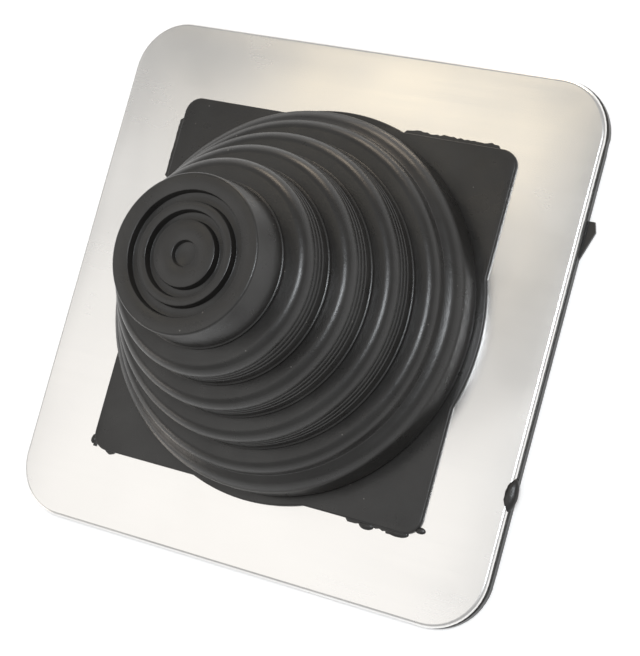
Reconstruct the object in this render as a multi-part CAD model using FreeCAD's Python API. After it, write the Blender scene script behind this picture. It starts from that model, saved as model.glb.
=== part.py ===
import FreeCAD, Part
import math
import os

# Pipe flashing boot: a stepped rubber cone moulded onto a square sheet of soft aluminium.
# Millimetres, +Z up the cone, origin on the cone's axis at the face that lies on the roof.

# ---- flange: rubber underlay and the aluminium sheet bonded on it -------------------------
sheet_side = 202.2         # square aluminium sheet
base_in = 0.1              # the rubber underlay is smaller than the sheet by this on each side
base_shift = 0.8           # and stands proud of it on its +X side
corner_r = 21.0            # plan radius of both
underlay_t = 3.2           # rubber under the sheet
sheet_t = 1.0
edge_drop = 0.7            # how far the sheet's margin is rolled down over the rubber
edge_roll = 1.5            # bevel of that rolled margin

# ---- stepped cone --------------------------------------------------------------------------
ring_count = 4             # steps under the cap
ring_r = 38.4              # outer radius of the smallest step
ring_run = 9.05            # each step is wider than the one above by this
ring_rise = 15.4           # and lower by this
low_rise = 6.8             # height of the lowest step, which the dome half swallows
wall_t = 2.6               # rubber thickness at the walls
ledge_t = 2.6              # and at the ledges
shoulder_r = 2.4           # rounded outer edge of each ledge
trim_share = (0.36, 0.66)  # trimming lines on each wall, as shares of its height from the top
trim_d = 0.45              # their depth
trim_w = 1.1               # their width
wall_spread = 0.7          # a wall is this much wider at its foot
lip_out = 0.7              # lip at the foot of each wall
lip_h = 1.8                # height of that lip
lip_under = 0.8            # the lip tucks in again over this height

# ---- dome: the bellows between the lowest step and the pad --------------------------------
dome_out = 6.65            # the dome is this much wider than the lowest step
dome_h = 16.6              # height of its crease above the pad
dome_step = 0.6            # small ledge at that crease
dome_lean = 0.5            # the dome's side leans in by this at its crown and at its foot
crown_drop = 2.0           # the crown's corner lies this far below the crease
crown_r = 5.6              # and is rounded by this
dome_haunch = 4.0          # chamfer inside, under the crown

# ---- pad: the square of rubber on top of the sheet ----------------------------------------
rim_out = 3.2              # flat rim round the dome's foot
rim_bulge = 3.9            # the rim stands out past the pad's four sides by this
pad_corner_r = 6.5
window_corner_r = 1.5      # corners of the sheet's window
pad_t = 1.4
pad_edge = 0.6             # bevel round its top
grip_lap = 5.0             # pad and rim overlap the edge of the sheet's window by this much

# ---- cap ------------------------------------------------------------------------------------
cap_h = 16.2               # top face above the first ledge
cap_r = 28.1               # outer edge of the top face
cap_spread = 1.6           # the cap's wall widens by this down to its foot
cap_edge_r = 0.9
cap_lip = 0.3              # small undercut at its foot
dimple_r = 4.5             # centre mark
dimple_d = 2.0
groove_share = ((0.418, 0.534), (0.644, 0.779))   # sides of the two ring grooves, as shares of cap_r
groove_d = 3.1
groove_draft = 0.2         # the grooves' sides lean by this much over their depth

# ---- moulding tag left on the underlay's edge -------------------------------------------------
tag_y = (37.5, 52.0)       # where it starts and ends along the +X edge
tag_out = 3.6              # how far its tip stands out
tag_cut = 2.5              # how far its torn end stands out
tag_t = 1.2
tag_root = 1.0             # it is buried in the underlay by this much

# ---- derived sizes ----------------------------------------------------------------------------
base_side = sheet_side - 2 * base_in
sheet_z = underlay_t       # underside of the sheet
sheet_top = sheet_z + sheet_t
margin_z = sheet_z - edge_drop                  # lower edge of its rolled margin
pad_top = sheet_top + pad_t
crease_z = pad_top + dome_h
wall_r = [ring_r + k * ring_run for k in range(ring_count)]
ledge_z = [crease_z + low_rise + (ring_count - 1 - k) * ring_rise for k in range(ring_count)]
inner_r = [r - wall_t for r in wall_r]
dome_r = wall_r[-1] + dome_out
dome_inner_r = dome_r - wall_t
rim_r = dome_r + rim_out
pad_side = 2 * (rim_r - rim_bulge)
cap_z = ledge_z[0] + cap_h
cap_foot_r = cap_r + cap_spread
cap_bore_r = cap_r - wall_t                     # hollow inside the cap
cap_t = groove_d + wall_t                       # thickness of the cap's top
past = 1.0                                      # the cutter runs past the rubber by this


def corner_flats(before, here, after, radius):
    """Points of a rounded corner, drawn as short flats from one side to the other."""
    back = (before - here).normalize()
    ahead = (after - here).normalize()
    half = back.getAngle(ahead) / 2
    centre = here + (back + ahead).normalize() * (radius / math.sin(half))
    start = here + back * (radius / math.tan(half)) - centre
    end = here + ahead * (radius / math.tan(half)) - centre
    flats = 2 if radius < crown_r else 3
    sweep = start.getAngle(end)
    points = []
    for step in range(flats + 1):
        turned = sweep * step / flats
        spoke = start * math.sin(sweep - turned) + end * math.sin(turned)
        points.append(centre + spoke * (1 / math.sin(sweep)))
    return points


def revolved(profile):
    """Solid of revolution about the cone's axis, from corners (r, z, corner radius)."""
    corners = [FreeCAD.Vector(r, 0, z) for r, z, _ in profile]
    outline = []
    for i, here in enumerate(corners):
        radius = profile[i][2]
        if radius:
            outline += corner_flats(corners[i - 1], here, corners[(i + 1) % len(corners)], radius)
        else:
            outline.append(here)
    face = Part.Face(Part.makePolygon(outline + outline[:1]))
    return face.revolve(FreeCAD.Vector(0, 0, 0), FreeCAD.Vector(0, 0, 1), 360)


def rounded_slab(side, radius, z_low, z_high, shift_x=0.0):
    """Flat square slab with rounded corners, centred on the axis apart from shift_x."""
    corner = FreeCAD.Vector(shift_x - side / 2, -side / 2, z_low)
    slab = Part.makeBox(side, side, z_high - z_low, corner)
    upright = [edge for edge in slab.Edges if edge.BoundBox.ZLength > (z_high - z_low) / 2]
    return slab.makeFillet(radius, upright)


def disc(radius, z_low, z_high):
    return Part.makeCylinder(radius, z_high - z_low, FreeCAD.Vector(0, 0, z_low))


def bevel_at(shape, z, size):
    """Bevel all the edges that lie at one height."""
    level = [edge for edge in shape.Edges
             if edge.BoundBox.ZLength < 1e-4 and abs(edge.BoundBox.ZMin - z) < 1e-4]
    return shape.makeChamfer(size, level)


def pad_plan(z_low, z_high, corner, inset=0.0):
    """Plan of the pad together with the cone's round rim, cut in by an inset."""
    square = rounded_slab(pad_side - 2 * inset, corner, z_low, z_high)
    return square.fuse(disc(rim_r - inset, z_low, z_high)).removeSplitter()


def window_plan():
    """Plan of the window in the sheet, which the pad and rim overlap all round."""
    return pad_plan(sheet_z, sheet_top, window_corner_r, grip_lap)


def sheet_core():
    """The rubber that fills the sheet's rolled margin from below."""
    core = rounded_slab(sheet_side - 2 * sheet_t, corner_r - sheet_t, margin_z, sheet_z)
    return bevel_at(core, sheet_z, edge_roll - sheet_t)


def make_sheet():
    """Soft aluminium sheet, its margin rolled down over the rubber, with the window for the cone."""
    outer = rounded_slab(sheet_side, corner_r, margin_z, sheet_top)
    outer = bevel_at(outer, sheet_top, edge_roll)
    return outer.cut(sheet_core()).cut(window_plan())


def cap_profile():
    """Cap from the centre mark, over the two ring grooves, down to its foot on the first ledge."""
    floor = cap_z - dimple_d
    profile = [(0, floor, 0), (dimple_r, floor, 0), (dimple_r, cap_z, 0)]
    for inner_share, outer_share in groove_share:
        inner, outer = inner_share * cap_r, outer_share * cap_r
        profile += [(inner, cap_z, 0), (inner + groove_draft, cap_z - groove_d, 0)]
        profile += [(outer - groove_draft, cap_z - groove_d, 0), (outer, cap_z, 0)]
    profile += [(cap_r, cap_z, cap_edge_r)]
    profile += [(cap_foot_r, ledge_z[0] + cap_lip, 0), (cap_foot_r - cap_lip, ledge_z[0], 0)]
    return profile


def step_profile(k):
    """One step: rounded shoulder, trimming lines down the wall, and the lip over the next ledge."""
    top, foot = ledge_z[k], ledge_z[k + 1]
    profile = [(wall_r[k], top, shoulder_r)]
    for share in trim_share:
        r = wall_r[k] + wall_spread * share
        z = top - ring_rise * share
        profile += [(r, z + trim_w / 2, 0), (r - trim_d, z, 0), (r, z - trim_w / 2, 0)]
    foot_r = wall_r[k] + wall_spread
    profile += [(foot_r, foot + lip_h, 0), (foot_r + lip_out, foot + lip_under, 0), (foot_r, foot, 0)]
    return profile


def dome_profile():
    """Lowest step, and the dome that runs from its crease down to the pad."""
    return [(wall_r[-1], ledge_z[-1], shoulder_r),
            (wall_r[-1] + dome_step, crease_z, 0),
            (dome_r - dome_lean, crease_z - crown_drop, crown_r),
            (dome_r, pad_top + (dome_h - crown_r) / 4, 0),
            (dome_r - dome_lean, pad_top, 0),
            (dome_r - dome_lean, sheet_top, 0)]


def hollow_profile():
    """Inside of the cone, going up from the dome's open foot to the underside of the cap."""
    roof = crease_z - ledge_t
    profile = [(dome_inner_r, sheet_top, 0), (dome_inner_r, roof - dome_haunch, 0),
               (dome_inner_r - dome_haunch, roof, 0), (inner_r[-1], roof, 0)]
    for k in reversed(range(1, ring_count)):
        under = ledge_z[k] - ledge_t
        profile += [(inner_r[k], under, 0), (inner_r[k - 1], under, 0)]
    under = ledge_z[0] - ledge_t
    profile += [(inner_r[0], under, 0), (cap_bore_r, under, 0)]
    profile += [(cap_bore_r, cap_z - cap_t, 0), (0, cap_z - cap_t, 0)]
    return profile


def make_cone():
    profile = cap_profile()
    for k in range(ring_count - 1):
        profile += step_profile(k)
    return revolved(profile + dome_profile() + hollow_profile())


def make_tag():
    """Thin moulding tag on the underlay's +X edge, torn off at its +Y end."""
    edge_x = base_side / 2 + base_shift
    tip_y = tag_y[1] - (tag_y[1] - tag_y[0]) / 4
    outline = [(edge_x - tag_root, tag_y[0]), (edge_x, tag_y[0]), (edge_x + tag_out, tip_y),
               (edge_x + tag_cut, tag_y[1]), (edge_x - tag_root, tag_y[1])]
    corners = [FreeCAD.Vector(x, y, 0) for x, y in outline]
    return Part.Face(Part.makePolygon(corners + corners[:1])).extrude(FreeCAD.Vector(0, 0, tag_t))


def make_boot():
    """The one rubber moulding: underlay, pad on top of the sheet, dome, steps and cap."""
    underlay = rounded_slab(base_side, corner_r, 0, margin_z, base_shift)
    pad = bevel_at(pad_plan(sheet_top, pad_top, pad_corner_r), pad_top, pad_edge)
    base = underlay.fuse([make_tag(), sheet_core(), window_plan(), pad])
    base = base.cut(disc(dome_inner_r, -past, pad_top + past))
    return base.fuse(make_cone()).removeSplitter()


parts = {"rubber_boot": make_boot(), "aluminium_flange": make_sheet()}
os.makedirs("parts", exist_ok=True)
for name, shape in parts.items():
    solid = shape.Solids[0]
    solid.exportStep(os.path.join("parts", name + ".step"))
    box = solid.BoundBox
    print(name, "solids", len(shape.Solids), "valid", solid.isValid(),
          "volume cm3 %.1f" % (solid.Volume / 1000),
          "from %.1f %.1f %.1f" % (box.XMin, box.YMin, box.ZMin),
          "to %.1f %.1f %.1f" % (box.XMax, box.YMax, box.ZMax))
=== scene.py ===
# %% [markdown]
# # Pipe flashing boot
# A flashing boot seals a round pipe where it comes through a roof. It is two pieces: one rubber
# moulding, with a stepped cone that is cut to suit the pipe, and one square sheet of soft aluminium
# that is pressed to the shape of the roof. The rubber grips the sheet all round a window in it.
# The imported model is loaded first, because it fixes the outer sizes and the place of each piece.

# %% Load the frame
import bpy
import math
import random
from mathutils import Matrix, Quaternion, Vector


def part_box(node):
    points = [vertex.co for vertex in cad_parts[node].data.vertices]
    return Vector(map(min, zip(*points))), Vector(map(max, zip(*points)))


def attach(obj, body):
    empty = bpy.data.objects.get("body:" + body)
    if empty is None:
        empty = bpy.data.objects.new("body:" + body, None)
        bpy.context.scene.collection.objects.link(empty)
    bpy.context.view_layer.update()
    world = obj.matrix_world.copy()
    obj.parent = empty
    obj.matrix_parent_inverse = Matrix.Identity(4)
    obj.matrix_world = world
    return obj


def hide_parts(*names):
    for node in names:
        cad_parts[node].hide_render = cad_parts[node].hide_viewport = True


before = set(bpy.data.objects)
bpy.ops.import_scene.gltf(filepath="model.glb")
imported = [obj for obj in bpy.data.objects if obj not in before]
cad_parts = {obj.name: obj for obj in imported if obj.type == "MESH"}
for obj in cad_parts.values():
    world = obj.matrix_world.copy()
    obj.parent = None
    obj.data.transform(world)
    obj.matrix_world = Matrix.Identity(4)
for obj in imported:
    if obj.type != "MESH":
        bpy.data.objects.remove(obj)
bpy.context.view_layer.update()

MM = 0.001
boot_low, boot_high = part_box("rubber_boot")
sheet_low, sheet_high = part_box("aluminium_flange")
print("frame nodes:", sorted(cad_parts))
print("boot height %.1f mm" % (boot_high[2] / MM))

# %% [markdown]
# ## Sizes
# The outer sizes are read from the frame. The others are the moulding's own: how far each step
# runs out and down, how round its shoulder is, and how thick the rubber is. A maker would keep
# these few numbers on the drawing and let the rest follow, and the two cells below do the same.

# %% Driving sizes
cap_z = boot_high[2]
underlay_half = boot_high[1]
underlay_shift = boot_low[0] + underlay_half

sheet_top = sheet_high[2]
sheet_half = sheet_high[0]
margin_z = sheet_low[2]
sheet_t = 1.0 * MM
sheet_under = sheet_top - sheet_t
corner_r = 21.0 * MM

step_count = 4
step_r = 38.4 * MM
step_run = 9.05 * MM
step_rise = 15.4 * MM
shoulder_r = 4.4 * MM
rubber_t = 2.6 * MM

cap_r = 28.1 * MM
cap_h = 16.2 * MM
crease_drop = 6.8 * MM
dome_out = 6.65 * MM
pad_t = 1.4 * MM
rim_out = 3.2 * MM
rim_bulge = 3.9 * MM
print("steps run out %.2f mm and down %.1f mm" % (step_run / MM, step_rise / MM))

# %% Sizes that follow
pad_top = sheet_top + pad_t
wall_r = [step_r + k * step_run for k in range(step_count)]
ledge_z = [cap_z - cap_h - k * step_rise for k in range(step_count)]
crease_z = ledge_z[-1] - crease_drop
dome_r = wall_r[-1] + dome_out
dome_inner_r = dome_r - rubber_t
rim_r = dome_r + rim_out
pad_side = 2 * (rim_r - rim_bulge)
print("ledges at", [round(z / MM, 1) for z in ledge_z], "mm")
print("walls at ", [round(r / MM, 1) for r in wall_r], "mm")
print("dome %.1f mm, rim %.1f mm, pad %.1f mm square" % (dome_r / MM, rim_r / MM, pad_side / MM))

# %% [markdown]
# ## Picking by place
# An operator acts on everything that is selected, so each helper first clears the selection and
# then picks the vertices, edges or faces it needs by where they lie. That is what a modeller's
# eye does with the mouse, and it keeps working when a size changes.

# %% Select a piece, or a part of it
SAME_PLACE = 1e-6


def close(a, b):
    return abs(a - b) < SAME_PLACE


def start_fresh():
    if bpy.context.object and bpy.context.object.mode != "OBJECT":
        bpy.ops.object.mode_set(mode="OBJECT")
    bpy.ops.object.select_all(action="DESELECT")


def focus(piece):
    start_fresh()
    piece.select_set(True)
    bpy.context.view_layer.objects.active = piece


def pick(piece, kind, wanted):
    """Leaves the piece in edit mode with only the wanted VERT, EDGE or FACE elements selected."""
    focus(piece)
    bpy.ops.object.mode_set(mode="EDIT")
    bpy.ops.mesh.select_mode(type=kind)
    bpy.ops.mesh.select_all(action="DESELECT")
    bpy.ops.object.mode_set(mode="OBJECT")
    mesh = piece.data
    if kind == "VERT":
        for vertex in mesh.vertices:
            vertex.select = wanted(vertex.co)
    if kind == "EDGE":
        for edge in mesh.edges:
            a, b = (mesh.vertices[i].co for i in edge.vertices)
            edge.select = wanted(a, b)
    if kind == "FACE":
        for face in mesh.polygons:
            face.select = wanted(face.center, face.normal)
    bpy.ops.object.mode_set(mode="EDIT")


print("places within %.3f mm count as one" % (SAME_PLACE / MM))

# %% [markdown]
# ## Uniting and finishing
# One moulding is one closed skin, so its layers are joined by Booleans and not left standing in each
# other. The exact solver does that cleanly if both solids are closed. Doubled vertices are merged and
# the faces turned outwards afterwards, and smooth shading stops at the angle where an edge is crisp.

# %% Modifiers, Booleans and shading
def apply_modifier(piece, kind, **settings):
    """Adds a modifier with these settings and applies it to the mesh."""
    focus(piece)
    modifier = piece.modifiers.new(kind.title(), kind)
    for name, value in settings.items():
        setattr(modifier, name, value)
    bpy.ops.object.modifier_apply(modifier=modifier.name)


def combine(piece, other, how):
    """Unites the piece with another solid, or cuts that solid out of it."""
    apply_modifier(piece, "BOOLEAN", operation=how, object=other, solver="EXACT")
    bpy.data.objects.remove(other)


def tidy_mesh(piece):
    """Merges doubled vertices and turns every face outwards."""
    pick(piece, "VERT", lambda co: True)
    bpy.ops.mesh.remove_doubles(threshold=SAME_PLACE)
    bpy.ops.mesh.normals_make_consistent(inside=False)
    bpy.ops.object.mode_set(mode="OBJECT")


def smooth(piece, degrees):
    focus(piece)
    bpy.ops.object.shade_smooth_by_angle(angle=math.radians(degrees))


print("nothing is modelled yet:", len(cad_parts), "frame nodes are in the scene")

# %% [markdown]
# ## Plates and discs
# The sheet and the layers of rubber are squares with round corners. Each could be drawn corner by
# corner, but here a cube is put at its size and place and its upright edges are bevelled, so that the
# corner radius stays one number. Round parts have as many divisions as the cone, so they meet it well.

# %% Plates and discs
plate_corner_steps = 14
round_steps = 224


def rounded_plate(name, half, corner, low, high, shift_x=0.0):
    """A square plate: a cube put at its size and place, with its four upright edges rounded."""
    start_fresh()
    size = (2 * half, 2 * half, high - low)
    bpy.ops.mesh.primitive_cube_add(size=1, location=(shift_x, 0, (low + high) / 2), scale=size)
    plate = bpy.context.object
    plate.name = name
    bpy.ops.object.transform_apply(location=True, rotation=True, scale=True)
    pick(plate, "EDGE", lambda a, b: abs(a.z - b.z) > (high - low) / 2)
    bpy.ops.mesh.bevel(offset=corner, segments=plate_corner_steps, profile=0.5)
    bpy.ops.object.mode_set(mode="OBJECT")
    return plate


def round_disc(name, radius, low, high):
    start_fresh()
    bpy.ops.mesh.primitive_cylinder_add(vertices=round_steps, radius=radius, depth=high - low,
                                        location=(0, 0, (low + high) / 2))
    disc = bpy.context.object
    disc.name = name
    bpy.ops.object.transform_apply(location=True, rotation=True, scale=True)
    return disc


def soften_top(piece, top, size, segments=3):
    """Rounds the edges that lie at the top of a plate or disc."""
    pick(piece, "EDGE", lambda a, b: close(a.z, top) and close(b.z, top))
    bpy.ops.mesh.bevel(offset=size, segments=segments, profile=0.5)
    bpy.ops.object.mode_set(mode="OBJECT")


print("plate corners in", plate_corner_steps, "divisions, full rounds in", round_steps)

# %% [markdown]
# ## The pad's outline
# The pad is a square, and the dome on it is a little wider, so a round rim stands out past the
# middle of all four sides. The window in the sheet and the web of rubber in that window have the same
# outline, only smaller. One helper makes all three, so they always fit into each other.

# %% Square with a round rim
grip_lap = 5.0 * MM
window_corner = 1.5 * MM


def pad_plan(name, low, high, corner, inset=0.0, soft_edge=0.0):
    """The pad's square together with the round rim, which stands out past its four sides."""
    plan = rounded_plate(name, pad_side / 2 - inset, corner, low, high)
    rim = round_disc("rim", rim_r - inset, low, high)
    if soft_edge:
        soften_top(plan, high, soft_edge)
        soften_top(rim, high, soft_edge)
    combine(plan, rim, "UNION")
    return plan


print("the rubber laps %.1f mm over the sheet all round its window" % (grip_lap / MM))

# %% [markdown]
# ## The aluminium sheet
# The real sheet is blanked from soft 1 mm aluminium and its margin is rolled a little way down
# over the rubber. It is made here in the same order: a flat pan with rounded corners, its upper
# edge rounded over, its open underside removed, and then a wall thickness of 1 mm. A solid plate
# would look the same from above, but its edge would be too thick from below.

# %% Model the sheet
edge_roll = 1.5 * MM
edge_roll_steps = 8
past_sheet = 2 * MM


def make_sheet():
    pan = rounded_plate("sheet_of_soft_aluminium", sheet_half, corner_r, margin_z, sheet_top)
    soften_top(pan, sheet_top, edge_roll, edge_roll_steps)
    # the face that looks straight down is taken away, which leaves an open pan
    pick(pan, "FACE", lambda centre, normal: normal.z < -0.9)
    bpy.ops.mesh.delete(type="FACE")
    bpy.ops.object.mode_set(mode="OBJECT")
    apply_modifier(pan, "SOLIDIFY", thickness=sheet_t, offset=-1, use_even_offset=True)
    low, high = sheet_under - past_sheet, sheet_top + past_sheet
    combine(pan, pad_plan("window", low, high, window_corner, grip_lap), "DIFFERENCE")
    tidy_mesh(pan)
    smooth(pan, degrees=30)
    return pan


sheet = make_sheet()
print("sheet:", len(sheet.data.polygons), "faces")

# %% [markdown]
# ## The stepped cone
# The cone is the feature of the part. The mould has a groove for every trimming line and a small
# lip at the foot of every wall, where one pipe size ends and the next begins. It could be stacked
# from cylinders, but a real moulding is one flowing skin, so its half section is drawn as one
# outline and spun round the axis. Each corner is listed as its radius from the axis, its height and
# the size of its round, from the middle of the cap down the outside and back up the hollow.

# %% Corners of the cap
soft_r = 0.22 * MM
draft = 0.2 * MM
dimple_r = 4.5 * MM
dimple_d = 2.0 * MM
groove_d = 3.1 * MM
groove_shares = ((0.418, 0.534), (0.644, 0.779))
cap_edge_r = 0.9 * MM
cap_flare = 1.2 * MM
lip_h = 1.15 * MM
lip_crest_h = 1.0 * MM
lip_crest_r = 0.3 * MM


def lip_corners(foot_r, foot, out, back):
    """The lip at the foot of a wall: it stands out, then draws back where it meets the ledge."""
    return [(foot_r, foot + lip_h, soft_r),
            (foot_r + out, foot + lip_crest_h, lip_crest_r),
            (foot_r + back, foot, 0)]


def cap_corners():
    floor = cap_z - dimple_d
    corners = [(0, floor, 0), (dimple_r - draft, floor, soft_r), (dimple_r, cap_z, 2 * soft_r)]
    for inner_share, outer_share in groove_shares:
        inner, outer = inner_share * cap_r, outer_share * cap_r
        corners += [(inner, cap_z, 2 * soft_r), (inner + draft, cap_z - groove_d, soft_r)]
        corners += [(outer - draft, cap_z - groove_d, soft_r), (outer, cap_z, 2 * soft_r)]
    corners += [(cap_r, cap_z, cap_edge_r)]
    return corners + lip_corners(cap_r + cap_flare, ledge_z[0], out=0.6 * MM, back=0.3 * MM)


print("cap:", len(cap_corners()), "corners,", len(groove_shares), "ring grooves")

# %% Corners of a step
wall_spread = 0.7 * MM
trim_share = (0.36, 0.52, 0.68)
trim_w = 0.9 * MM
trim_d = 0.32 * MM


def step_corners(k):
    """A shoulder, the wall below it with its trimming lines, and the lip at its foot."""
    top, foot = ledge_z[k], ledge_z[k + 1]
    corners = [(wall_r[k], top, shoulder_r)]
    for share in trim_share:
        r = wall_r[k] + wall_spread * share
        z = top - step_rise * share
        corners += [(r, z + trim_w / 2, soft_r), (r - trim_d, z, 0), (r, z - trim_w / 2, soft_r)]
    return corners + lip_corners(wall_r[k] + wall_spread, foot, out=0.7 * MM, back=0.2 * MM)


print("each step:", len(step_corners(0)), "corners,", len(trim_share), "trimming lines")

# %% Corners of the dome and the hollow
crease_out = 0.6 * MM
crown_drop = 2.0 * MM
crown_r = 5.6 * MM
dome_lean = 0.5 * MM
haunch = 4.0 * MM
foot_z = 0.4 * MM


def dome_corners():
    """The last shoulder, a crease, the dome's crown, and its wall, widest a quarter of the way up."""
    return [(wall_r[-1], ledge_z[-1], shoulder_r),
            (wall_r[-1] + crease_out, crease_z, 2 * soft_r),
            (dome_r - dome_lean, crease_z - crown_drop, crown_r),
            (dome_r, pad_top + (crease_z - pad_top - crown_r) / 4, 2 * soft_r),
            (dome_r - dome_lean, pad_top, 0)]


def hollow_corners():
    """The inside, from the foot up: it follows the steps at an even wall."""
    roof = crease_z - rubber_t
    corners = [(dome_r - dome_lean, foot_z, 0), (dome_inner_r, foot_z, soft_r)]
    corners += [(dome_inner_r, roof - haunch, 2 * soft_r), (dome_inner_r - haunch, roof, 2 * soft_r)]
    corners += [(wall_r[-1] - rubber_t, roof, 2 * soft_r)]
    outer_r = [cap_r] + wall_r
    for k in reversed(range(step_count)):
        under = ledge_z[k] - rubber_t
        corners += [(outer_r[k + 1] - rubber_t, under, 2 * soft_r)]
        corners += [(outer_r[k] - rubber_t, under, 2 * soft_r)]
    ceiling = cap_z - groove_d - rubber_t
    corners += [(cap_r - rubber_t, ceiling, 2 * soft_r), (0, ceiling, 0)]
    return corners


outline = cap_corners() + [c for k in range(step_count - 1) for c in step_corners(k)]
outline += dome_corners() + hollow_corners()
print("half section:", len(outline), "corners")

# %% [markdown]
# ## Drawing the half section
# A lathe or a mould cutter follows one profile, and so does the spin. Bezier curves could draw it, but
# then every round would have handles to keep in order. Here a single vertex is extruded from corner to
# corner, and each corner is bevelled as far back as its round needs. All corners that need the same
# bevel are rounded together.

# %% Draw the outline
def draw_outline(name, points):
    """One vertex, made by merging a small plane, is extruded from point to point."""
    start_fresh()
    bpy.ops.mesh.primitive_plane_add(size=MM, location=(0, 0, 0))
    piece = bpy.context.object
    piece.name = name
    bpy.ops.object.mode_set(mode="EDIT")
    bpy.ops.mesh.select_mode(type="VERT")
    bpy.ops.mesh.merge(type="CENTER")
    here = Vector(points[0])
    bpy.ops.transform.translate(value=here)
    for there in map(Vector, points[1:]):
        bpy.ops.mesh.extrude_region_move(TRANSFORM_OT_translate={"value": there - here})
        here = there
    bpy.ops.object.mode_set(mode="OBJECT")
    return piece


cone = draw_outline("stepped_cone", [(r, 0, z) for r, z, _ in outline])
print("half section drawn:", len(cone.data.edges), "straight lines")

# %% Round its corners
def corner_offset(corners, i):
    """How far back along its two lines a corner of this radius begins."""
    here, before, after = (Vector((corners[j][0], corners[j][1])) for j in (i, i - 1, i + 1))
    half = (before - here).angle(after - here) / 2
    return corners[i][2] / math.tan(half)


def arc_steps(radius):
    """Small rounds need few divisions, and a shoulder enough to look truly round."""
    if radius < 0.6 * MM:
        return 2
    if radius < 2 * MM:
        return 4
    return 9


def round_corners(piece, corners):
    """Bevels every corner; those that need the same offset, to a tenth of a micron, go together."""
    offsets = {}
    for i in range(1, len(corners) - 1):
        if corners[i][2] > 0:
            offsets.setdefault(round(corner_offset(corners, i), 7), []).append(corners[i])
    for offset, group in offsets.items():
        pick(piece, "VERT", lambda co: any(close(co.x, r) and close(co.z, z) for r, z, _ in group))
        bpy.ops.mesh.bevel(offset=offset, segments=arc_steps(group[0][2]), profile=0.5,
                           affect="VERTICES", clamp_overlap=False)
        bpy.ops.object.mode_set(mode="OBJECT")


round_corners(cone, outline)
print("rounded half section:", len(cone.data.vertices), "vertices")

# %% Spin it round the axis
pick(cone, "VERT", lambda co: True)
bpy.ops.mesh.spin(steps=round_steps, angle=2 * math.pi, center=(0, 0, 0), axis=(0, 0, 1))
bpy.ops.object.mode_set(mode="OBJECT")
tidy_mesh(cone)
print("cone:", len(cone.data.polygons), "faces")

# %% [markdown]
# ## The base of the moulding
# Under the sheet lies a flat rubber underlay. It comes up through the window as a web and ends on
# top as a square pad with a round rim, so the sheet is held between two layers of rubber. The
# four slabs are made one by one, at the heights of the real layers, and united with the cone into
# one solid, because the real thing leaves the mould as one piece.

# %% Underlay with its uneven edge
underlay_edge_x = underlay_shift + underlay_half
edge_cuts = 36
edge_shakes = (-0.25, -0.12, 0.0, 0.1)


def ragged(piece, chosen, direction, amounts, seed):
    """Moves each chosen vertex by one of the amounts, so that a straight edge turns ragged.

    Vertices that lie above each other move together, so the edge stays upright.
    """
    def place(co):
        return round(co.x, 6), round(co.y, 6)

    dice = random.Random(seed)
    amount_at = {}
    for vertex in piece.data.vertices:
        if chosen(vertex.co):
            amount_at.setdefault(place(vertex.co), dice.choice(amounts))
    for amount in amounts:
        pick(piece, "VERT", lambda co: amount_at.get(place(co)) == amount)
        bpy.ops.transform.translate(value=Vector(direction) * amount)
    bpy.ops.object.mode_set(mode="OBJECT")


def make_underlay():
    """The mould pinches the edge off unevenly, so the +X side is divided and shaken a little."""
    underlay = rounded_plate("rubber_boot_moulding", underlay_half, corner_r, 0, margin_z,
                             underlay_shift)
    pick(underlay, "EDGE", lambda a, b: close(a.x, underlay_edge_x) and close(b.x, underlay_edge_x)
         and abs(a.y - b.y) > corner_r)
    bpy.ops.mesh.subdivide(number_cuts=edge_cuts)
    amounts = [shake * MM for shake in edge_shakes]
    ragged(underlay, lambda co: close(co.x, underlay_edge_x), (1, 0, 0), amounts, seed=4)
    return underlay


boot = make_underlay()
print("underlay:", len(boot.data.polygons), "faces")

# %% Core, web and pad
core_bite = 0.2 * MM
web_bite = 0.3 * MM
pad_corner = 6.5 * MM
pad_edge = 0.6 * MM


def make_core():
    """The rubber that fills the sheet's rolled margin from below."""
    core = rounded_plate("core", sheet_half - sheet_t, corner_r - sheet_t, margin_z - core_bite,
                         sheet_under)
    soften_top(core, sheet_under, edge_roll - sheet_t)
    return core


combine(boot, make_core(), "UNION")
web = pad_plan("web", sheet_under - web_bite, sheet_top + web_bite, window_corner, grip_lap)
combine(boot, web, "UNION")
combine(boot, pad_plan("pad", sheet_top, pad_top, pad_corner, soft_edge=pad_edge), "UNION")
print("base layers:", len(boot.data.polygons), "faces")

# %% [markdown]
# ## Flash
# Where the mould halves close on the sheet, a thin film of rubber creeps out over the metal. It is
# ragged, and nobody trims it. A few thin films give the pad its true, untidy outline. Each one is
# a grid whose outer row is shaken and whose ends run back under the pad, then given a thickness.
# Displacing the pad's own side would be quicker, but the film has to stay thin as it spreads.

# %% Make a film
film_min_rows = 6
film_row = 1.4 * MM
film_bury = 1.6 * MM
film_end = 1.5 * MM
film_run_back = 0.3 * MM
film_shares = (-1.0, -0.5, 0.0, 0.5, 0.9)


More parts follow.
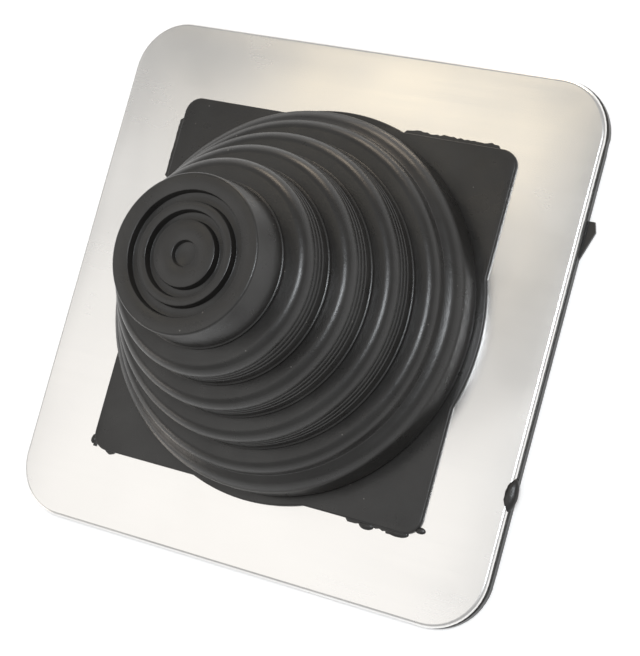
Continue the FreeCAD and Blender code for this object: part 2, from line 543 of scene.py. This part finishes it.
def flash_film(start, end, reach, shake, thick, seed):
    """A film along the pad's edge, with the metal on its right; all but thick is given in mm."""
    start_fresh()
    start, end = (Vector((x * MM, y * MM, 0)) for x, y in (start, end))
    length = (end - start).length
    rows = max(film_min_rows, round(length / film_row))
    bpy.ops.mesh.primitive_grid_add(x_subdivisions=rows, y_subdivisions=1, size=1)
    film = bpy.context.object
    film.name = "flash"
    pick(film, "VERT", lambda co: True)
    bpy.ops.transform.resize(value=(length, film_bury + reach * MM, 1))
    bpy.ops.transform.translate(value=(length / 2, -(reach * MM - film_bury) / 2, 0))
    # the two ends run back under the pad, and the free edge is ragged
    pick(film, "VERT", lambda co: co.y < 0 and (co.x < film_end or co.x > length - film_end))
    bpy.ops.transform.translate(value=(0, reach * MM + film_run_back, 0))
    amounts = [share * shake * MM for share in film_shares]
    ragged(film, lambda co: co.y < 0 and film_end < co.x < length - film_end, (0, 1, 0), amounts,
           seed)
    pick(film, "VERT", lambda co: True)
    bpy.ops.mesh.extrude_region_move(TRANSFORM_OT_translate={"value": (0, 0, thick)})
    bpy.ops.object.mode_set(mode="OBJECT")
    film.rotation_euler.z = math.atan2(end.y - start.y, end.x - start.x)
    # a fifth of the film lies in the sheet, so no two surfaces share a plane
    film.location = (start.x, start.y, sheet_top - 0.2 * thick)
    bpy.ops.object.transform_apply(location=True, rotation=True, scale=True)
    tidy_mesh(film)
    return film


print("the edge of a film can turn every %.1f mm" % (film_row / MM))

# %% Lay the films round the pad
half = pad_side / 2 / MM
films = [  # start, end, reach over the metal and shake of the edge, all in mm
    ((65.0, half), (22.0, half), 1.4, 0.35),
    ((-half, half - 7), (-half, 36.0), 1.6, 0.1),
    ((40.0, -half), (63.0, -half), 0.8, 0.3),
    ((47.5, -half), (54.0, -half), 1.9, 0.5),
    ((56.0, -half), (67.5, -half), 1.5, 0.15),
    ((-half, -half + 6.5), (-half, -half + 0.5), 1.2, 0.3),
    ((-67.0, -half), (-59.0, -half), 0.9, 0.3)]
for number, (start, end, reach, shake) in enumerate(films):
    # films that cross have different heights, which keeps the Boolean clean
    thick = (0.4 + 0.04 * number) * MM
    combine(boot, flash_film(start, end, reach, shake, thick, number), "UNION")
print("films of flash:", len(films))

# %% [markdown]
# ## Nubs and lap
# At the pad's corners the flash gathers in small nubs, and in one place a smear of rubber has run
# over the sheet's rolled edge. Metaballs would blend them in, but they are slow to place. A flattened
# sphere, moved a little at random so that it isn't a perfect oval, gives each one its soft shape.

# %% Nubs at the corners and the lap over the edge
def soft_patch(name, centre, size, height, unevenness):
    """A smear of rubber: a low round blob, slightly uneven all round."""
    start_fresh()
    bpy.ops.mesh.primitive_uv_sphere_add(segments=28, ring_count=14, radius=1)
    patch = bpy.context.object
    patch.name = name
    patch.scale = (size[0] / 2, size[1] / 2, height)
    patch.location = centre
    bpy.ops.object.transform_apply(location=True, rotation=True, scale=True)
    pick(patch, "FACE", lambda middle, normal: True)
    bpy.ops.transform.vertex_random(offset=unevenness, seed=9)
    bpy.ops.mesh.quads_convert_to_tris()
    bpy.ops.object.mode_set(mode="OBJECT")
    return patch


nubs = [  # name, middle and size in mm
    ("corner_nub", (71.4, -68.9), (4.2, 2.4)),
    ("corner_lump", (63.0, -71.6), (9.0, 3.4)),
    ("small_lump", (50.5, -72.2), (6.0, 3.2)),
    ("left_nub", (-71.8, -68.6), (2.4, 3.2))]
nub_lift = 0.1 * MM
for name, (x, y), (long, wide) in nubs:
    place = (x * MM, y * MM, sheet_top + nub_lift)
    nub = soft_patch(name, place, (long * MM, wide * MM), height=0.7 * MM, unevenness=0.05 * MM)
    combine(boot, nub, "UNION")
lap_place = (sheet_half - 0.6 * MM, -48.5 * MM, sheet_top - 1.2 * MM)
lap = soft_patch("lap", lap_place, (5.4 * MM, 12.5 * MM), height=1.75 * MM, unevenness=0.1 * MM)
combine(boot, lap, "UNION")
print("nubs:", len(nubs), "and one lap")

# %% [markdown]
# ## The tag
# A thin tag stands out from the underlay on the +X side, where the rubber flowed into the mould. It
# is a flat piece with five corners and a slanted edge, so it is drawn, filled and pulled up. Cutting
# it from a cube would take as many steps and give worse corners.

# %% Draw the tag
tag_low = 0.1 * MM
tag_t = 1.1 * MM


def make_tag():
    edge_x, tip_x = underlay_edge_x / MM, boot_high[0] / MM
    corners = [(edge_x - 1, 37.5), (edge_x, 37.5), (tip_x, 48.4), (tip_x - 1.1, 52.0),
               (edge_x - 1, 52.0)]
    tag = draw_outline("tag", [(x * MM, y * MM, tag_low) for x, y in corners])
    pick(tag, "VERT", lambda co: True)
    bpy.ops.mesh.edge_face_add()
    bpy.ops.mesh.extrude_region_move(TRANSFORM_OT_translate={"value": (0, 0, tag_t)})
    bpy.ops.object.mode_set(mode="OBJECT")
    tidy_mesh(tag)
    return tag


combine(boot, make_tag(), "UNION")
print("the tag stands out %.1f mm" % ((boot_high[0] - underlay_edge_x) / MM))

# %% [markdown]
# ## One moulding
# The real boot is open below, so that the pipe can pass. The opening is cut a little wider than the
# hollow, and the cone's own wall then lines it, so that no seam shows inside. The cone is united last,
# because it is the heaviest mesh, and every Boolean after it would have to carry its faces.

# %% Open the foot and join the cone
bore_gap = 0.6 * MM
past_base = MM
bore = round_disc("bore", dome_inner_r + bore_gap, -past_base, pad_top + past_base)
combine(boot, bore, "DIFFERENCE")
print("base:", len(boot.data.polygons), "faces, height %.2f mm" % (boot.dimensions.z / MM))
combine(boot, cone, "UNION")
tidy_mesh(boot)
smooth(boot, degrees=32)
print("boot:", len(boot.data.polygons), "faces")

# %% [markdown]
# ## Patterns
# Rubber and aluminium both need faint clouds, so that no large face is one flat tone, and a fine
# grain that breaks up the gloss, which is the same pattern made small. Dust needs scattered specks.
# An image could carry all this, but it would stretch over the steps. Each effect is a node group,
# built once, and each material gives it its own size and strength.

# %% Start a pattern group
def add_node(tree, kind, place, **settings):
    node = tree.nodes.new(kind)
    node.location = place
    for name, value in settings.items():
        setattr(node, name, value)
    return node


def new_group(name, numbers):
    """An empty group: number inputs with their defaults, a Place to read, and a Mask to give."""
    group = bpy.data.node_groups.new(name, "ShaderNodeTree")
    sockets = group.interface
    for title, default in numbers:
        socket = sockets.new_socket(name=title, in_out="INPUT", socket_type="NodeSocketFloat")
        socket.default_value = default
    sockets.new_socket(name="Place", in_out="INPUT", socket_type="NodeSocketVector")
    sockets.new_socket(name="Mask", in_out="OUTPUT", socket_type="NodeSocketFloat")
    ins = add_node(group, "NodeGroupInput", (-800, 0))
    outs = add_node(group, "NodeGroupOutput", (500, 0))
    return group, ins, outs


print("node groups so far:", len(bpy.data.node_groups))

# %% Soft clouds
def clouds_group():
    """Clouds between 0 and 1; Scale sets their size, and Low and High where they fade and fill."""
    numbers = (("Scale", 50.0), ("Detail", 3.0), ("Low", 0.35), ("High", 0.65))
    group, ins, outs = new_group("soft clouds", numbers)
    noise = add_node(group, "ShaderNodeTexNoise", (-350, 0))
    spread = add_node(group, "ShaderNodeMapRange", (-100, 0))
    links = group.links
    links.new(ins.outputs["Place"], noise.inputs["Vector"])
    links.new(ins.outputs["Scale"], noise.inputs["Scale"])
    links.new(ins.outputs["Detail"], noise.inputs["Detail"])
    links.new(noise.outputs["Fac"], spread.inputs["Value"])
    links.new(ins.outputs["Low"], spread.inputs["From Min"])
    links.new(ins.outputs["High"], spread.inputs["From Max"])
    links.new(spread.outputs["Result"], outs.inputs["Mask"])
    return group


clouds = clouds_group()
print("pattern group:", clouds.name)

# %% Scattered specks
cells_left_bare = 0.82


def specks_group():
    """1 inside a speck and 0 elsewhere; most cells of the pattern are left bare."""
    group, ins, outs = new_group("scattered specks", (("Scale", 300.0), ("Radius", 0.12)))
    cells = add_node(group, "ShaderNodeTexVoronoi", (-550, 0))
    near = add_node(group, "ShaderNodeMath", (-300, 0), operation="LESS_THAN")
    rare = add_node(group, "ShaderNodeSeparateColor", (-300, -180))
    some = add_node(group, "ShaderNodeMath", (-50, -180), operation="GREATER_THAN")
    some.inputs[1].default_value = cells_left_bare
    both = add_node(group, "ShaderNodeMath", (200, 0), operation="MULTIPLY")
    links = group.links
    links.new(ins.outputs["Place"], cells.inputs["Vector"])
    links.new(ins.outputs["Scale"], cells.inputs["Scale"])
    links.new(cells.outputs["Distance"], near.inputs[0])
    links.new(ins.outputs["Radius"], near.inputs[1])
    links.new(cells.outputs["Color"], rare.inputs["Color"])
    links.new(rare.outputs["Red"], some.inputs[0])
    links.new(near.outputs["Value"], both.inputs[0])
    links.new(some.outputs["Value"], both.inputs[1])
    links.new(both.outputs["Value"], outs.inputs["Mask"])
    return group


specks = specks_group()
print("pattern group:", specks.name)

# %% [markdown]
# ## Parts of a material
# Both finishes are built from the same few moves: read a pattern, blend two colours by it, spread it
# between two values for the roughness, or turn it into relief. Each move is a helper that returns the
# socket the next one needs. The shader stays in the material itself, with its plain values on it.

# %% Start a material and give it values
def per_mm(size):
    """A noise scale for detail of this size in mm, in a scene measured in metres."""
    return 1000.0 / size


def set_inputs(node, **values):
    for name, value in values.items():
        node.inputs[name.replace("_", " ")].default_value = value


def empty_tree(owner):
    """Turns on the nodes of a material or a world, and clears them."""
    owner.use_nodes = True
    owner.node_tree.nodes.clear()
    return owner.node_tree


def new_material(name):
    material = bpy.data.materials.new(name)
    tree = empty_tree(material)
    shader = add_node(tree, "ShaderNodeBsdfPrincipled", (500, 0))
    output = add_node(tree, "ShaderNodeOutputMaterial", (800, 0))
    tree.links.new(shader.outputs["BSDF"], output.inputs["Surface"])
    place = add_node(tree, "ShaderNodeTexCoord", (-1200, 0))
    return material, tree, shader, place.outputs["Object"]


print("detail of 1 mm has a noise scale of %.0f" % per_mm(1))

# %% Patterns, colours, values and relief
COLOUR_A, COLOUR_B, COLOUR_RESULT = 6, 7, 2


def pattern(tree, group, place, at, **values):
    """One use of a pattern group, with its own values; returns its mask."""
    node = add_node(tree, "ShaderNodeGroup", at, node_tree=group)
    tree.links.new(place, node.inputs["Place"])
    set_inputs(node, **values)
    return node.outputs["Mask"]


def blend_colour(tree, mask, first, second, at):
    """Blends two colours by the mask; each is a plain colour or a socket."""
    mix = add_node(tree, "ShaderNodeMix", at, data_type="RGBA")
    tree.links.new(mask, mix.inputs["Factor"])
    for index, colour in ((COLOUR_A, first), (COLOUR_B, second)):
        if isinstance(colour, tuple):
            mix.inputs[index].default_value = (*colour, 1)
        else:
            tree.links.new(colour, mix.inputs[index])
    return mix.outputs[COLOUR_RESULT]


def spread_value(tree, mask, low, high, at):
    """A number that runs from low to high as the mask runs from 0 to 1."""
    spread = add_node(tree, "ShaderNodeMapRange", at)
    tree.links.new(mask, spread.inputs["Value"])
    set_inputs(spread, To_Min=low, To_Max=high)
    return spread.outputs["Result"]


def bump(tree, height, depth, at, under=None):
    """Relief of this depth in metres, laid over the relief under it."""
    node = add_node(tree, "ShaderNodeBump", at)
    set_inputs(node, Strength=1.0, Distance=depth)
    tree.links.new(height, node.inputs["Height"])
    if under:
        tree.links.new(under, node.inputs["Normal"])
    return node.outputs["Normal"]


print("materials so far:", len(bpy.data.materials))

# %% [markdown]
# ## Black moulded rubber
# EPDM leaves the mould a very dark, slightly warm grey with a dull gloss. Talc and dust settle on
# it as pale specks and a faint bloom. The gloss comes from the roughness alone, and the bloom only
# lifts the colour a little, because a real black rubber is read from its highlights.

# %% Rubber material
rubber_dark = (0.0185, 0.0175, 0.0165)
rubber_bloom = (0.029, 0.028, 0.0265)
dust_colour = (0.16, 0.15, 0.14)


def rubber_material():
    material, tree, shader, place = new_material("black moulded rubber")
    bloom = pattern(tree, clouds, place, (-900, 300), Scale=per_mm(22), Detail=5.0, Low=0.38,
                    High=0.72)
    colour = blend_colour(tree, bloom, rubber_dark, rubber_bloom, (-500, 300))
    dust = pattern(tree, specks, place, (-900, 100), Scale=per_mm(3.4), Radius=0.07)
    colour = blend_colour(tree, dust, colour, dust_colour, (-250, 250))
    tree.links.new(colour, shader.inputs["Base Color"])
    patches = pattern(tree, clouds, place, (-900, -100), Scale=per_mm(9), Detail=4.0, Low=0.3,
                      High=0.7)
    roughness = spread_value(tree, patches, low=0.26, high=0.35, at=(-500, -100))
    tree.links.new(roughness, shader.inputs["Roughness"])
    grain = pattern(tree, clouds, place, (-900, -300), Scale=per_mm(0.55), Detail=2.0, Low=0.2,
                    High=0.8)
    sway = pattern(tree, clouds, place, (-900, -500), Scale=per_mm(6), Detail=2.0, Low=0.2,
                   High=0.8)
    normal = bump(tree, sway, depth=0.05 * MM, at=(-300, -500))
    normal = bump(tree, grain, depth=0.02 * MM, at=(0, -400), under=normal)
    tree.links.new(normal, shader.inputs["Normal"])
    set_inputs(shader, IOR=1.5)
    return material


rubber = rubber_material()
print("material:", rubber.name, "with", len(rubber.node_tree.nodes), "nodes")

# %% [markdown]
# ## Soft rolled aluminium
# The sheet comes off the rolling mill with a satin surface: fine lines along the rolling direction,
# a few cloudy patches, and a faint waviness from handling that only shows in its reflections. The
# lines are one noise pattern stretched sixty times along the sheet, used for gloss and for relief.

# %% Aluminium material
aluminium_dull = (0.80, 0.79, 0.775)
aluminium_bright = (0.86, 0.85, 0.835)
line_stretch = 60


def aluminium_material():
    material, tree, shader, place = new_material("soft rolled aluminium")
    stretch = add_node(tree, "ShaderNodeMapping", (-1050, -200))
    stretch.inputs["Scale"].default_value = (1 / line_stretch, 1, 1)
    tree.links.new(place, stretch.inputs["Vector"])
    lines = pattern(tree, clouds, stretch.outputs["Vector"], (-900, -200), Scale=per_mm(2.2),
                    Detail=2.0, Low=0.2, High=0.8)
    patches = pattern(tree, clouds, place, (-900, 200), Scale=per_mm(38), Detail=3.0, Low=0.3,
                      High=0.7)
    colour = blend_colour(tree, patches, aluminium_dull, aluminium_bright, (-500, 250))
    tree.links.new(colour, shader.inputs["Base Color"])
    gloss = add_node(tree, "ShaderNodeMath", (-550, 0), operation="ADD")
    line_part = spread_value(tree, lines, low=0.0, high=0.02, at=(-720, -120))
    cloud_part = spread_value(tree, patches, low=0.21, high=0.27, at=(-720, 60))
    tree.links.new(line_part, gloss.inputs[0])
    tree.links.new(cloud_part, gloss.inputs[1])
    tree.links.new(gloss.outputs["Value"], shader.inputs["Roughness"])
    sway = pattern(tree, clouds, place, (-900, -600), Scale=per_mm(70), Detail=1.0, Low=0.2,
                   High=0.8)
    normal = bump(tree, sway, depth=0.6 * MM, at=(-300, -600))
    normal = bump(tree, lines, depth=0.001 * MM, at=(0, -400), under=normal)
    tree.links.new(normal, shader.inputs["Normal"])
    set_inputs(shader, Metallic=1.0)
    return material


aluminium = aluminium_material()
print("material:", aluminium.name, "with", len(aluminium.node_tree.nodes), "nodes")

# %% [markdown]
# ## Dressing the two pieces
# Each new piece gets its finish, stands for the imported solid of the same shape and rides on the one
# body, since nothing on a boot moves by itself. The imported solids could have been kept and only
# painted, but they have no flash and no fine lips, and those make the boot look moulded.

# %% Dress the two pieces
def dress(piece, material, node):
    piece.data.materials.clear()
    piece.data.materials.append(material)
    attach(piece, "root")
    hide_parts(node)
    print(piece.name, "stands for", node)


dress(boot, rubber, "rubber_boot")
dress(sheet, aluminium, "aluminium_flange")

# %% [markdown]
# ## The floor
# The part lies on a plain pale floor. The floor keeps the part's soft shadow, and a little light of
# its own, seen by the camera and in reflections only, lifts it to white. Brighter lamps would do that
# too, but they would bleach the part. Seen from below the floor is clear, so that the underside shows.

# %% Light that only the eye sees
def seen_directly(tree, at):
    """1 for rays from the camera and for those that gloss or glass sends on, else 0."""
    path = add_node(tree, "ShaderNodeLightPath", at)
    seen = path.outputs["Is Camera Ray"]
    for step, name in enumerate(("Is Glossy Ray", "Is Transmission Ray"), 1):
        more = add_node(tree, "ShaderNodeMath", (at[0] + 180 * step, at[1]), operation="MAXIMUM")
        tree.links.new(seen, more.inputs[0])
        tree.links.new(path.outputs[name], more.inputs[1])
        seen = more.outputs["Value"]
    return seen


def floor_glow(tree):
    """The floor's own light, which grows outwards, because the lamps light the far floor less."""
    glow = add_node(tree, "ShaderNodeEmission", (0, -200))
    lift = add_node(tree, "ShaderNodeMath", (-200, -200), operation="MULTIPLY")
    tree.links.new(seen_directly(tree, (-800, -200)), lift.inputs[0])
    place = add_node(tree, "ShaderNodeTexCoord", (-1000, -450))
    distance = add_node(tree, "ShaderNodeVectorMath", (-800, -450), operation="LENGTH")
    tree.links.new(place.outputs["Object"], distance.inputs["Vector"])
    level = add_node(tree, "ShaderNodeMapRange", (-500, -450))
    set_inputs(level, From_Min=0.3, From_Max=1.3, To_Min=0.42, To_Max=0.75)
    tree.links.new(distance.outputs["Value"], level.inputs["Value"])
    tree.links.new(level.outputs["Result"], lift.inputs[1])
    tree.links.new(lift.outputs["Value"], glow.inputs["Strength"])
    return glow.outputs["Emission"]


print("the floor glows for the camera, for gloss and for glass")

# %% Lay the floor
room_side = 12
floor_gap = 0.3 * MM
floor_grey = 0.82


def floor_material():
    material = bpy.data.materials.new("pale floor")
    tree = empty_tree(material)
    paint = add_node(tree, "ShaderNodeBsdfDiffuse", (0, 0))
    paint.inputs["Color"].default_value = (floor_grey, floor_grey, floor_grey, 1)
    above = add_node(tree, "ShaderNodeAddShader", (200, 0))
    tree.links.new(paint.outputs["BSDF"], above.inputs[0])
    tree.links.new(floor_glow(tree), above.inputs[1])
    side = add_node(tree, "ShaderNodeNewGeometry", (200, 250))
    clear = add_node(tree, "ShaderNodeBsdfTransparent", (200, -200))
    either = add_node(tree, "ShaderNodeMixShader", (400, 0))
    tree.links.new(side.outputs["Backfacing"], either.inputs["Fac"])
    tree.links.new(above.outputs["Shader"], either.inputs[1])
    tree.links.new(clear.outputs["BSDF"], either.inputs[2])
    output = add_node(tree, "ShaderNodeOutputMaterial", (600, 0))
    tree.links.new(either.outputs["Shader"], output.inputs["Surface"])
    return material


start_fresh()
bpy.ops.mesh.primitive_plane_add(size=room_side, location=(0, 0, -floor_gap))
floor = bpy.context.object
floor.name = "floor"
floor.data.materials.append(floor_material())
print("floor: %d m square, %.1f mm below the part" % (room_side, floor_gap / MM))

# %% [markdown]
# ## The room
# A flat sheet of metal is a mirror, and it shows whatever hangs above it. In a studio that is a pale
# grey ceiling, so a wide card in that tone hangs over the part. Behind it the world is plain white to
# the eye, and gives the part a weaker light that comes evenly from all sides.

# %% White surroundings and a grey ceiling
def make_room(level):
    world = bpy.data.worlds.new("room")
    bpy.context.scene.world = world
    tree = empty_tree(world)
    sky = add_node(tree, "ShaderNodeBackground", (0, 0))
    sky.inputs["Color"].default_value = (1, 1, 1, 1)
    strength = add_node(tree, "ShaderNodeMapRange", (-200, 0))
    set_inputs(strength, To_Min=level, To_Max=1.0)
    tree.links.new(seen_directly(tree, (-900, 0)), strength.inputs["Value"])
    tree.links.new(strength.outputs["Result"], sky.inputs["Strength"])
    output = add_node(tree, "ShaderNodeOutputWorld", (200, 0))
    tree.links.new(sky.outputs["Background"], output.inputs["Surface"])


def add_card(name, place, side, brightness):
    """A plain square card that looks equally bright from everywhere, 1 being white."""
    start_fresh()
    bpy.ops.mesh.primitive_plane_add(size=side, location=place)
    card = bpy.context.object
    card.name = name
    material = bpy.data.materials.new(name)
    tree = empty_tree(material)
    glow = add_node(tree, "ShaderNodeEmission", (0, 0))
    set_inputs(glow, Strength=brightness)
    output = add_node(tree, "ShaderNodeOutputMaterial", (200, 0))
    tree.links.new(glow.outputs["Emission"], output.inputs["Surface"])
    card.data.materials.append(material)


room_light = 0.42
ceiling_z = 2.6
ceiling_grey = 0.45
make_room(room_light)
add_card("grey_ceiling", (0, 0, ceiling_z), room_side, ceiling_grey)
print("ceiling %.1f m up, at %.2f of white" % (ceiling_z, ceiling_grey))

# %% [markdown]
# ## The lamps
# Three softboxes hang where the flat sheet mirrors them, a broad one, one on the left and a warm one,
# and give the metal its bright and creamy parts. A small lamp draws the thin highlights on the
# shoulders and lips, and two low side lamps put a warm edge on the dome. Each is given as how bright
# its face looks, because a sheet that mirrors a lamp shows just that, whatever the lamp's size.

# %% Hang the lamps
def add_lamp(name, place, aim, size, brightness, colour):
    """An area lamp; brightness is how bright its face looks, 1 being white."""
    start_fresh()
    bpy.ops.object.light_add(type="AREA", location=place)
    lamp = bpy.context.object
    lamp.name = name
    lamp.data.shape = "RECTANGLE"
    lamp.data.size, lamp.data.size_y = size
    lamp.data.color = colour
    lamp.data.energy = brightness * math.pi * size[0] * size[1]
    lamp.rotation_euler = (Vector(aim) - Vector(place)).to_track_quat("-Z", "Y").to_euler()


part = (0, 0, 0)
lamps = [  # name, place, aimed at, size, brightness, colour
    ("broad_softbox", (-0.74, -0.24, 1.2), (-0.74, -0.24, 0), (1.05, 0.66), 0.8, (1.0, 0.97, 0.93)),
    ("left_softbox", (-1.0, 0.16, 1.2), (-1.0, 0.16, 0), (0.4, 0.4), 0.65, (1.0, 0.98, 0.95)),
    ("warm_softbox", (-0.55, 0.44, 1.2), (-0.55, 0.44, 0), (0.42, 0.3), 1.1, (1.0, 0.86, 0.62)),
    ("small_key_lamp", (0.37, 0.15, 1.3), part, (0.16, 0.44), 33.0, (0.92, 0.96, 1.0)),
    ("warm_side_lamp", (-0.15, 1.6, 0.55), part, (0.6, 0.5), 6.0, (1.0, 0.82, 0.62)),
    ("left_side_lamp", (-1.35, -1.0, 0.62), part, (0.5, 0.4), 3.0, (1.0, 0.90, 0.80))]
for lamp_settings in lamps:
    add_lamp(*lamp_settings)
print("lamps:", len(lamps))

# %% [markdown]
# ## Camera
# The camera looks down on the boot from its +X side with a long lens, turned so that the cone
# leans towards the upper left. Its place is given the way a photographer would: the point aimed
# at, the distance, the two angles, and the turn about the line of sight. Typing in a place and a
# rotation would work too, but then no single number could be changed by itself.

# %% Camera
def make_camera(aim, distance, azimuth, elevation, turn, lens):
    azimuth, elevation = math.radians(azimuth), math.radians(elevation)
    away = Vector((math.cos(azimuth) * math.cos(elevation),
                   math.sin(azimuth) * math.cos(elevation),
                   math.sin(elevation)))
    start_fresh()
    bpy.ops.object.camera_add(location=aim + away * distance)
    camera = bpy.context.object
    level = (-away).to_track_quat("-Z", "Y")
    camera.rotation_euler = (level @ Quaternion((0, 0, 1), math.radians(turn))).to_euler()
    camera.data.lens = lens
    bpy.context.scene.camera = camera


make_camera(aim=Vector((24.8, -8.8, 30.0)) * MM, distance=0.6787, azimuth=-9.6, elevation=61.88,
            turn=-66.24, lens=104.55)
bpy.context.scene.view_settings.view_transform = "Standard"
print("camera %.2f m above the floor" % bpy.context.scene.camera.location.z)
